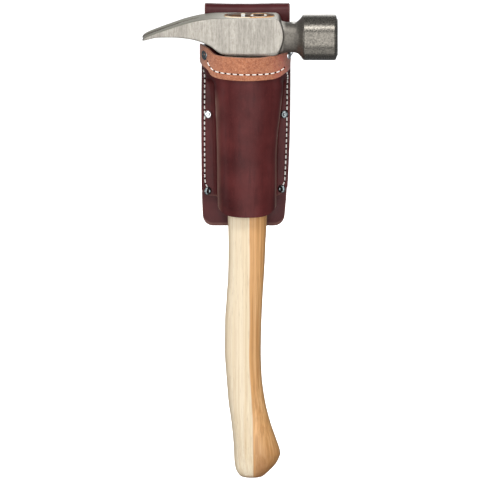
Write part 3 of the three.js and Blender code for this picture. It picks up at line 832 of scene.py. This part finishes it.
def loop_path():
    """The leather's outer face from the panel's foot, over the fold, to the tail's end: its points
    and outward directions in Y and Z."""
    radius = (PANEL_HIGH[1] - PANEL_LOW[1]) / 2
    fold = PANEL_HIGH[2] - radius
    rows = [((PANEL_LOW[1], z), (-1, 0)) for z in np.linspace(PANEL_LOW[2], fold, 96)]
    for angle in np.linspace(0, pi, 25)[1:]:
        way = (-cos(angle), sin(angle))
        rows.append(((radius * way[0], fold + radius * way[1]), way))
    rows += [((PANEL_HIGH[1], z), (1, 0)) for z in np.linspace(fold, TUNNEL_BOTTOM, 34)[1:]]
    closed = PANEL_BACK + GAP + PANEL_LEATHER
    drop, inward = TUNNEL_BOTTOM - TAIL_CLOSED, PANEL_HIGH[1] - closed
    for t in np.linspace(0, 1, 14)[1:]:
        y = PANEL_HIGH[1] - inward * t * t * (3 - 2 * t)
        lean = inward / drop * 6 * t * (1 - t)
        size = hypot(1, lean)
        rows.append(((y, TUNNEL_BOTTOM - drop * t), (1 / size, -lean / size)))
    rows += [((closed, z), (1, 0)) for z in np.linspace(TAIL_CLOSED, TAIL_BOTTOM, 9)[1:]]
    return rows


def corner_rise(across, radius):
    """How far a rounded corner lifts the panel's edge at a distance across it."""
    near = min(across, PANEL_WIDTH - across)
    if near >= radius:
        return 0.0
    return radius - sqrt(max(0.0, radius**2 - (radius - near) ** 2))


EDGE_HIGHLIGHT = {0: 0.15, 1: 0.5}  # painted rim highlight along the panel's edges, by steps in from the edge


def make_panel():
    rows = loop_path()
    faces_at, ways_at = (np.array([row[k] for row in rows]) for k in (0, 1))
    lengths = np.cumsum([0, *[dist(a[0], b[0]) for a, b in zip(rows, rows[1:])]])
    columns = eased(70, 0.6)
    outer = np.zeros((len(rows) + 10, len(columns), 3))
    inner = outer.copy()
    for c, u in enumerate(columns):
        start = corner_rise(u * PANEL_WIDTH, PANEL_FOOT_RADIUS)
        end = lengths[-1] - corner_rise(u * PANEL_WIDTH, TAIL_RADIUS)
        for r, s in enumerate(np.linspace(start, end, len(outer))):
            y, z = (np.interp(s, lengths, faces_at[:, k]) for k in (0, 1))
            way = np.array([np.interp(s, lengths, ways_at[:, k]) for k in (0, 1)])
            way /= np.linalg.norm(way)
            left, right = curve(PANEL_LEFT, z), curve(PANEL_RIGHT, z)
            if s > lengths[-1] / 2:
                left, right = max(-TAIL_HALF, left), min(TAIL_HALF, right)
            x = left + (right - left) * u
            wave = 0.3 * ripple((x, y, z), 36, 21) + 0.08 * ripple((x, y, z), 9, 22)
            sag = 0.6 * sin(pi * u) * max(0.0, way[1])
            outer[r, c] = (x, *(np.array((y, z)) - way * (max(0.0, 0.25 - wave) + sag)))
            inner[r, c] = (x, *(np.array((y, z)) - way * PANEL_LEATHER))
    piece = mesh_piece("back_panel_leather", *thick_sheet(outer, inner), PANEL_HIDE)
    last = len(columns) - 1
    steps = [min(c, last - c, r) for r in range(len(outer)) for c in range(len(columns))]
    mark_wear_and_highlight(piece, [EDGE_HIGHLIGHT.get(step, 0) for step in steps])
    return soften_edges(piece, 0.9)


# ---- stitching ----

# A stitch is two plies, twisted once in each PLY_PITCH.
PLY_RADIUS = 0.37
PLY_OFFSET = 0.28
PLY_PITCH = 2.6
PLY_SIDES = 7
STITCH_STEPS = 16
STITCH_REACH = 0.7  # how much of the way between two holes it covers
STITCH_RISE = 0.45
STITCH_DIVE = 1.3
STITCH_PHASE = 1.3  # how much further each stitch is turned than the one before
AWL_HOLE = ((1.3, -0.25), (1.2, 0.06), (0.7, 0.15), (0.15, 0.18))  # radius and height


def twisted_stitch(start, end, normal, phase):
    """Two plies wound round a line that comes out of one hole, lies flat and goes into the next."""
    along = end - start
    length = np.linalg.norm(along)
    along /= length
    across = np.cross(normal, along)
    t = np.linspace(0, 1, STITCH_STEPS)
    height = STITCH_RISE - STITCH_DIVE * np.abs(2 * t - 1) ** 5
    middle = start + np.outer((0.5 + (t - 0.5) * STITCH_REACH) * length, along)
    middle = middle + np.outer(height, normal)
    ring = PLY_RADIUS * circle(turns(PLY_SIDES), across, normal)
    bodies = []
    for ply in (0, pi):
        turn = phase + ply + t * length * 2 * pi / PLY_PITCH
        core = middle + PLY_OFFSET * circle(turn, across, normal)
        bodies.append(loft([point + ring for point in core]))
    return merged(bodies)


def awl_hole_shade(point, normal, along):
    """A flat dome in the gap between two stitches, painted dark as the shade inside the hole."""
    oval_ring = circle(turns(12), 0.9 * along, 0.75 * np.cross(normal, along))
    return loft([point + radius * oval_ring + height * normal for radius, height in AWL_HOLE])


def stitch_run(name, places):
    """A seam at (point, normal) places: its stitches, and a dark dome at each place, painted as the
    shade inside the awl hole.
    """
    stitches, hole_shades = [], []
    for i, ((a, na), (b, nb)) in enumerate(zip(places, places[1:])):
        normal = (na + nb) / np.linalg.norm(na + nb)
        stitches.append(twisted_stitch(a, b, normal, STITCH_PHASE * i))
    for i, (point, normal) in enumerate(places):
        along = places[i + 1 if i + 1 < len(places) else i - 1][0] - point
        along -= normal * np.dot(along, normal)
        hole_shades.append(awl_hole_shade(point, normal, along / np.linalg.norm(along)))
    thread = mesh_piece(name, *merged(stitches), THREAD)
    return thread, mesh_piece(f"{name}_holes", *merged(hole_shades), HOLE_SHADE)


def even_places(place, start, end, pitch):
    """Holes an even pitch apart along place(t)."""
    dense = np.linspace(start, end, 400)
    points = np.array([place(t)[0] for t in dense])
    lengths = np.cumsum([0, *np.linalg.norm(np.diff(points, axis=0), axis=1)])
    count = max(2, round(lengths[-1] / pitch))
    return [place(np.interp(s, lengths, dense)) for s in np.linspace(0, lengths[-1], count + 1)]


SEAM_LEVEL = {-1: -66.0, 1: -62.0}  # above these heights a side seam keeps its place on the skin
SEAM_TURN = -170  # below this height the side seams turn inwards
SEAM_LEAN = 0.55


def side_seam(side):
    """A side seam's place on the skin by height: where the skin is a seam's inset from the edge."""

    def place(z):
        level = min(z, SEAM_LEVEL[side])
        target = seam_x(side, level) - side * SEAM_LEAN * max(0.0, SEAM_TURN - z)
        low, high = (-1, -CREASE_SHARE) if side < 0 else (1 + CREASE_SHARE, 2)
        for _ in range(14):
            middle = (low + high) / 2
            low, high = (middle, high) if pocket_point(middle, level)[0] < target else (low, middle)
        return pocket_point(low, z, -0.2), skin_normal(low, z)

    return place


def band_seam(along):
    z = curve(BAND_SEAM, along)
    lift = BAND_LEATHER + 0.05
    return pocket_point(along, z, lift) + (0, 0, BAND_RISE), skin_normal(along, z, lift)


# ---- rivets ----

RIVET_RADIUS = 3.9
RIVET_HEIGHT = 1.9
# A low domed cap with a rolled rim and a small dished middle: shares of its radius and height.
RIVET_SHAPE = [
    (0.02, 0.72), (0.2, 0.76), (0.36, 0.9), (0.46, 1.0), (0.6, 0.98), (0.78, 0.84), (0.92, 0.56),
    (0.99, 0.28), (1.0, 0.12), (0.97, 0.0), (0.5, -0.02),
]


def rivet_cap(base, radius, height, centre):
    """A cap that rises from a base along Y, or towards the front if its height is negative."""
    profile = [(r * radius, base + h * height) for r, h in RIVET_SHAPE]
    return lathe(profile, 48, centre, upright=False)


def make_rivet(place, metal, size, turn, tip, shift):
    """A rivet's front cap, turned to the right, tipped up and shifted, and its back cap."""
    low, high = box_mm(f"{place}_rivet")
    centre = np.array(((low[0] + high[0]) / 2, low[1] + RIVET_HEIGHT, (low[2] + high[2]) / 2))
    points, faces = rivet_cap(0, RIVET_RADIUS * size, -RIVET_HEIGHT, (0, 0, 0))
    rotation = np.array(Euler((-radians(tip), 0, radians(turn))).to_matrix())
    points = [rotation @ point + centre + shift for point in points]
    low, high = box_mm(f"{place}_cap")
    back = rivet_cap(low[1], RIVET_RADIUS - 0.2, high[1] - low[1], (centre[0], 0, centre[2]))
    name = f"{place}_nickel"
    front = mesh_piece(f"{name}_front", points, faces, metal)
    return front, mesh_piece(f"{name}_back", *back, NICKEL)


# ---- hammer ----

# The claw and cheeks by x: the heights of the top and the underside, and half the thickness.
HEAD_TOP_LINE = [
    (-100.2, -25.3), (-98.8, -23.4), (-97, -22.1), (-84.7, -17), (-70.6, -12), (-56.4, -7.4),
    (-42.4, -4.4), (-28, HEAD_TOP), (27, HEAD_TOP), (29.5, HEAD_TOP - 1.0), (31.6, HEAD_TOP - 3.6),
    (33.2, -12), (34.3, -18), (34.6, -22),
]
HEAD_UNDER_LINE = [
    (-100.2, -26), (-84.7, -22.4), (-70.6, -22), (-56.4, -23.2), (-45.2, -25.9), (-36.8, -29.8),
    (-24.1, -38.3), (-12, -40.6), (0, -41.4), (14, -41.0), (28, -39.5), (30, -37.6), (32, -33.5),
    (33.8, -28), (34.6, -22.4),
]
HEAD_HALF = [
    (-100.2, 8.6), (-99, 10.2), (-96, 11.3), (-84, 12.4), (-60, 13.8), (-34, 14.5), (40, 14.5),
]


def head_section(x):
    """A ring round the claw or cheeks at x: square shoulders above, bevelled edges below."""
    top, under, half = curve(HEAD_TOP_LINE, x), curve(HEAD_UNDER_LINE, x), curve(HEAD_HALF, x)
    shoulder = min(0.8, (top - under) * 0.2)
    bevel = float(np.interp(x, (-60, -30, -10), (0.7, 0.9, 2.2))) * min(1, (top - under) / 6)
    right = [
        (half - bevel, under), (half - bevel * 0.35, under + bevel * 0.62),
        (half, under + bevel * 1.7), (half, (top + under) / 2),
        (half, top - shoulder), (half - shoulder, top),
    ]
    points = [*right, *[(-y, z) for y, z in right[::-1]]]
    return [(x, HEAD_Y + y, z) for y, z in points]


NECK_PROFILE = [
    (16.6, 20), (16.6, 29), (15.6, 33), (14.7, 38), (14.6, 44), (15.2, 47.4), (16.6, 49.4),
    (19, 51.4), (POLL_RADIUS - 0.6, 53.3), (POLL_RADIUS, 54.4),
]
POLL_PROFILE = [
    (POLL_RADIUS, FACE_X - 3.4), (POLL_RADIUS - 0.35, FACE_X - 2.3),
    (POLL_RADIUS - 1.3, FACE_X - 1.5), (POLL_RADIUS - 2.8, FACE_X - 1.1), (0.01, FACE_X - 0.9),
]
FACE_RADIUS = 18.6
WAFFLE_PITCH = 2.5


def neck_and_poll():
    """Rings about the head's long axis; the neck is a little flattened front to back."""
    angles = turns(120)
    xs = [20.0, *np.linspace(20.5, 47, 22), *np.linspace(47.4, 55, 24), FACE_X - 4.0]
    table = [(x, radius) for radius, x in NECK_PROFILE]
    radii = [0.01, *[curve(table, x) for x in xs[1:]]]
    rings = []
    for radius, x in [*zip(radii, xs), *POLL_PROFILE]:
        flat = 0.84 + 0.06 * np.clip((x - 30) / 12, 0, 1) + 0.1 * np.clip((x - 42) / 11, 0, 1)
        y, z = flat * radius * np.cos(angles), radius * np.sin(angles)
        rings.append(np.stack((np.full(120, x), HEAD_Y + y, POLL_AXIS + z), 1))
    return loft(rings)


def make_face():
    """The milled face: a disc of square teeth, flush at its rim."""
    rings = []
    for radius in np.linspace(0.3, FACE_RADIUS, 62):
        y, z = radius * np.cos(turns(150)), radius * np.sin(turns(150))
        rows = (np.abs(np.sin(pi * across / WAFFLE_PITCH)) for across in (y, z))
        fade = np.clip((FACE_RADIUS - radius) / 1.6, 0, 1)
        x = FACE_X - 1.0 + 0.95 * fade * np.clip(np.minimum(*rows) * 1.5, 0, 1)
        rings.append(np.stack((x, HEAD_Y + y, POLL_AXIS + z), 1))
    foot = rings[-1].copy()
    foot[:, 0] = FACE_X - 2.5
    return mesh_piece("milled_face", *loft([*rings, foot]), FORGED)


def prism(points, low, high=5):
    """An upright prism, drawn in X and Y; unless told otherwise it ends above the whole head."""
    return loft([[(x, y, z) for x, y in points] for z in (low, high)])


def pin(radius, low, x, high=5, sides=40):
    """An upright round bar in the head's middle plane."""
    return lathe([(radius, low), (radius, high)], sides, (x, HEAD_Y, 0))


EYE_LEFT, EYE_RIGHT, EYE_HALF, EYE_POWER = -22.0, 26.0, 10.0, 2.5


def oval(left, right, half, power, count):
    angles = turns(count)
    x = (left + right) / 2 + (right - left) / 2 * signed_power(np.cos(angles), 2 / power)
    return np.stack((x, HEAD_Y + half * signed_power(np.sin(angles), 2 / power)), 1)


def nail_slot():
    """The gap between the prongs, bevelled so that its upper edges are wider."""
    rings = []
    for z, extra in ((-50, 0.6), (-27, 0.2), (-16, 0.2), (5, 1.8)):
        corners = [(-48, -1 - extra / 2), (-45.6, 0), (-48, 1 + extra / 2)]
        corners += [(-104, 3.9 + extra), (-104, -3.9 - extra)]
        rings.append([(x, HEAD_Y + y, z) for x, y in corners])
    return loft(rings)


def make_head():
    claw, cheeks = np.linspace(-100.2, -94, 12), np.linspace(-94, 26, 90)
    shoulder = 26 + 8.6 * np.sin(np.linspace(0, pi / 2, 30))
    xs = np.unique(np.concatenate((claw, cheeks, shoulder)))
    piece = mesh_piece("forged_head", *loft([head_section(x) for x in xs]), FORGED)
    boolean(piece, [neck_and_poll()], "UNION", FORGED)
    eye = prism(oval(EYE_LEFT, EYE_RIGHT, EYE_HALF, EYE_POWER, 64), -60)
    socket = pin(3.3, MAGNET_LOW[2] - 0.3, MAGNET_X)
    boolean(piece, [nail_slot(), eye, socket], "DIFFERENCE", FORGED)
    modify(piece, "REMESH", mode="VOXEL", voxel_size=0.5 * MM)
    modify(piece, "SMOOTH", factor=0.5, iterations=5)
    return shade_smooth(piece)


# The handle by height: left x, right x and half thickness.
HANDLE = [
    (HANDLE_HIGH[2], -21.7, 25.7, 9.7), (-44, -21.7, 25.7, 9.7), (-60, -21.5, 25, 11),
    (-100, -20, 22.5, 11.6), (-150, -19, 20, 11.8), (-200, -18.6, 18.9, 11.8),
    (-225, -18, 17.7, 11.8), (-250, -18.2, 16.6, 11.8), (-282, -20, 14.7, 11.8),
    (-302, -21.3, 13.8, 11.8), (-332, -21.5, 13.2, 11.8), (-356, -20, 14, 12),
    (-381, -18, 17.3, 12.4), (-401, -15.3, 22.1, 13), (-420, -13.4, 28.5, 13.4),
    (-429, -12.8, 31.4, 13.3), (-432.5, -12.7, 31.9, 13), (-436, -12.6, 30.8, 12.5),
    (-441, -12.2, 28.5, 12), (-447, -11.2, 23.6, 11), (-452, -8.8, 18.4, 9.2),
    (-455, -5.8, 14.6, 6.6), (HANDLE_LOW[2], -1.6, 10.6, 2.6),
]
HANDLE_POWER = 2.2  # squareness of its section below the eye


def wedge_slot(low, high):
    """The slot for a wedge that is widest at its top, with a little room round it."""
    y = high[1] + 0.1
    side = [(low[0] - 0.1, y), (high[0] + 0.1, y)]
    return prism([*side, *[(x, 2 * HEAD_Y - y) for x, _ in side[::-1]]], low[2] - 0.2)


def make_handle():
    top, foot = HANDLE[0][0], HANDLE[-1][0]
    tables = [[(row[0], row[k]) for row in HANDLE] for k in (1, 2, 3)]
    stretches = ((top, -200, 60), (-202, -425, 90), (-426.5, foot, 50))
    rings = []
    for z in np.concatenate([np.linspace(*stretch) for stretch in stretches]):
        left, right, half = (curve(table, z) for table in tables)
        plan = oval(left, right, half, EYE_POWER if z > -50 else HANDLE_POWER, 72)
        rings.append([(x, y, z) for x, y in plan])
    piece = mesh_piece("hickory_handle", *loft(rings), HICKORY)
    ring = pin((RING_HIGH[0] - RING_LOW[0]) / 2 + 0.1, HEAD_TOP - 6, RING_X, sides=48)
    slots = [wedge_slot(KERF_LOW, KERF_HIGH), wedge_slot(CROSS_LOW, CROSS_HIGH), ring]
    boolean(piece, slots, "DIFFERENCE", HICKORY)
    core = pin(5.2, HEAD_TOP - 7, RING_X, HANDLE_HIGH[2] - 0.25)
    boolean(piece, [core], "UNION", HICKORY)
    piece.data.materials.append(END_GRAIN)
    for face in piece.data.polygons:
        if face.normal.z > 0.6 and face.center.z > (HEAD_TOP - 8) * MM:
            face.material_index = len(piece.data.materials) - 1
    return piece


# ---- assembly ----


def put_on(body, piece, slot, *replaced):
    """Rides a piece on a body and hides the CAD nodes that it stands for; its slot is not used."""
    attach(piece, body)
    if replaced:
        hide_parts(*replaced)


def dress_cad(node, material, bevel):
    """Keeps a CAD node's shape and gives it its material and softer edges."""
    piece = shade_smooth(nodes[node])
    piece.data.materials.clear()
    piece.data.materials.append(material)
    edge = piece.modifiers.new("edge", "BEVEL")
    edge.width, edge.segments, edge.limit_method = bevel * MM, 2, "ANGLE"
    edge.angle_limit = SHARP_EDGE


put_on("hammer", make_head(), "forged_steel", "hammer_head")
put_on("hammer", make_face(), "forged_steel")
put_on("hammer", make_handle(), "hickory", "handle")
dress_cad("wood_wedge", END_GRAIN, 0.2)
dress_cad("cross_wedge", ZINC, 0.25)
dress_cad("ring_wedge", ZINC, 0.25)
dress_cad("nail_magnet", ZINC, 0.3)

put_on("holster", make_panel(), "burgundy_leather", "back_panel")
put_on("holster", make_pocket(), "burgundy_leather", "pocket")
put_on("holster", make_band(), "rough_out_leather", "mouth_band")

# Each seam's name, its place on the skin, where it starts and ends, and its stitches' pitch.
SEAMS = {
    "left_seam": ("left_stitches", side_seam(-1), -58, -175.5, 5.2),
    "right_seam": ("right_stitches", side_seam(1), -58.5, -173.5, 5.2),
    "mouth_seam": ("mouth_stitches", band_seam, 0.03, 1.0, 6.4),
}
for node, (name, place, start, end, pitch) in SEAMS.items():
    thread, hole_shades = stitch_run(name, even_places(place, start, end, pitch))
    put_on("holster", thread, "thread", node)
    put_on("holster", hole_shades, "burgundy_leather")

# How each front cap sits: its size, turned to the right, tipped up, and shifted from the CAD
# rivet. The upper two sit on the sides of the mouth's arch.
# The first value is the metal; the darker nickel stands for painted dark reflection.
RIVETS = {
    "upper_left": (DARK_REFLECTION_NICKEL, 1.4, -57, 4, (-0.2, -12.2, 2.4)),
    "upper_right": (NICKEL, 1.0, 68, 0, (-0.6, -8.6, 1.2)),
    "middle_left": (NICKEL, 1.0, -3, 8, (0, -0.1, 0)),
    "middle_right": (DARK_REFLECTION_NICKEL, 1.0, 8, 4, (0, -0.1, 0)),
    "lower_left": (DARK_REFLECTION_NICKEL, 1.0, 26, 3, (0, -0.3, 0)),
    "lower_right": (DARK_REFLECTION_NICKEL, 1.0, -24, 3, (0, -0.3, 0)),
}
for place, looks in RIVETS.items():
    front, back = make_rivet(place, *looks)
    put_on("holster", front, "nickel", f"{place}_rivet")
    put_on("holster", back, "nickel", f"{place}_cap")

# ---- stage and light ----

FLOOR_DROP = 0.3  # how far the floor lies below the object
FLOOR_SIZE = 20000.0
FLOOR_LIGHT = 3.8
AMBIENT = 0.22
AIM = Vector((0, HEAD_Y * MM, -0.2))
# The object's soft lamps: place, width and height in metres, and watts.
LAMPS = {
    "front_panel": ((0, -2.2, -0.05), 1.6, 3.2, 43.5),
    "overhead_strip": ((0, -0.72, 1.25), 1.6, 0.34, 17),
    "low_card": ((0, -0.9, -1.7), 1.6, 1.2, 7),
    "left_box": ((-1.5, -0.75, 0.05), 0.5, 1.3, 7),
    "back_fill": ((0, 2.4, 0.5), 1.4, 2.0, 22),
    "right_box": ((1.6, -0.6, 0.0), 0.35, 1.2, 2),
}


def make_floor():
    """A pale floor below the object, evenly lit by a lamp of its own."""
    s = Surface("studio_floor", Roughness=0.9)
    s.feed(s.blend(s.noise(900, detail=1), (0.93, 0.93, 0.93, 1), (0.96, 0.96, 0.96, 1)))
    size, z = FLOOR_SIZE, (cad_box[0].z - FLOOR_DROP) / MM
    corners = [(-size, -size, z), (size, -size, z), (size, size, z), (-size, size, z)]
    floor = flat_piece("floor", corners, [(0, 1, 2, 3)], s.material)
    floor.visible_glossy = floor.visible_diffuse = False
    data = bpy.data.lights.new("floor_light", "SUN")
    data.energy, data.angle = FLOOR_LIGHT, radians(60)
    lit = bpy.data.collections.new("lit_by_floor_light")
    lit.objects.link(floor)
    new_object("floor_light", data).light_linking.receiver_collection = lit


def soft_light(name, place, width, height, power):
    data = bpy.data.lights.new(name, "AREA")
    data.shape, data.size, data.size_y = "RECTANGLE", width, height
    data.energy = power
    lamp = new_object(name, data)
    lamp.visible_camera = False
    point_along(lamp, place, AIM - Vector(place))


def make_world():
    """White to the camera, and a soft cool grey to everything that the object reflects."""
    world = bpy.data.worlds.new("studio")
    bpy.context.scene.world = world
    world.use_nodes = True
    tree = world.node_tree
    shown, ambient = tree.nodes["Background"], tree.nodes.new("ShaderNodeBackground")
    for sky, colour, strength in ((shown, (1, 1, 1), 1), (ambient, (0.93, 0.96, 1), AMBIENT)):
        sky.inputs["Color"].default_value = (*colour, 1)
        sky.inputs["Strength"].default_value = strength
    to_camera = tree.nodes.new("ShaderNodeLightPath").outputs["Is Camera Ray"]
    mix = tree.nodes.new("ShaderNodeMixShader")
    for i, source in enumerate((to_camera, ambient.outputs[0], shown.outputs[0])):
        tree.links.new(source, mix.inputs[i])
    tree.links.new(mix.outputs[0], tree.nodes["World Output"].inputs["Surface"])


make_floor()
make_world()
for name, lamp in LAMPS.items():
    soft_light(name, *lamp)
bpy.context.scene.view_settings.view_transform = "Standard"
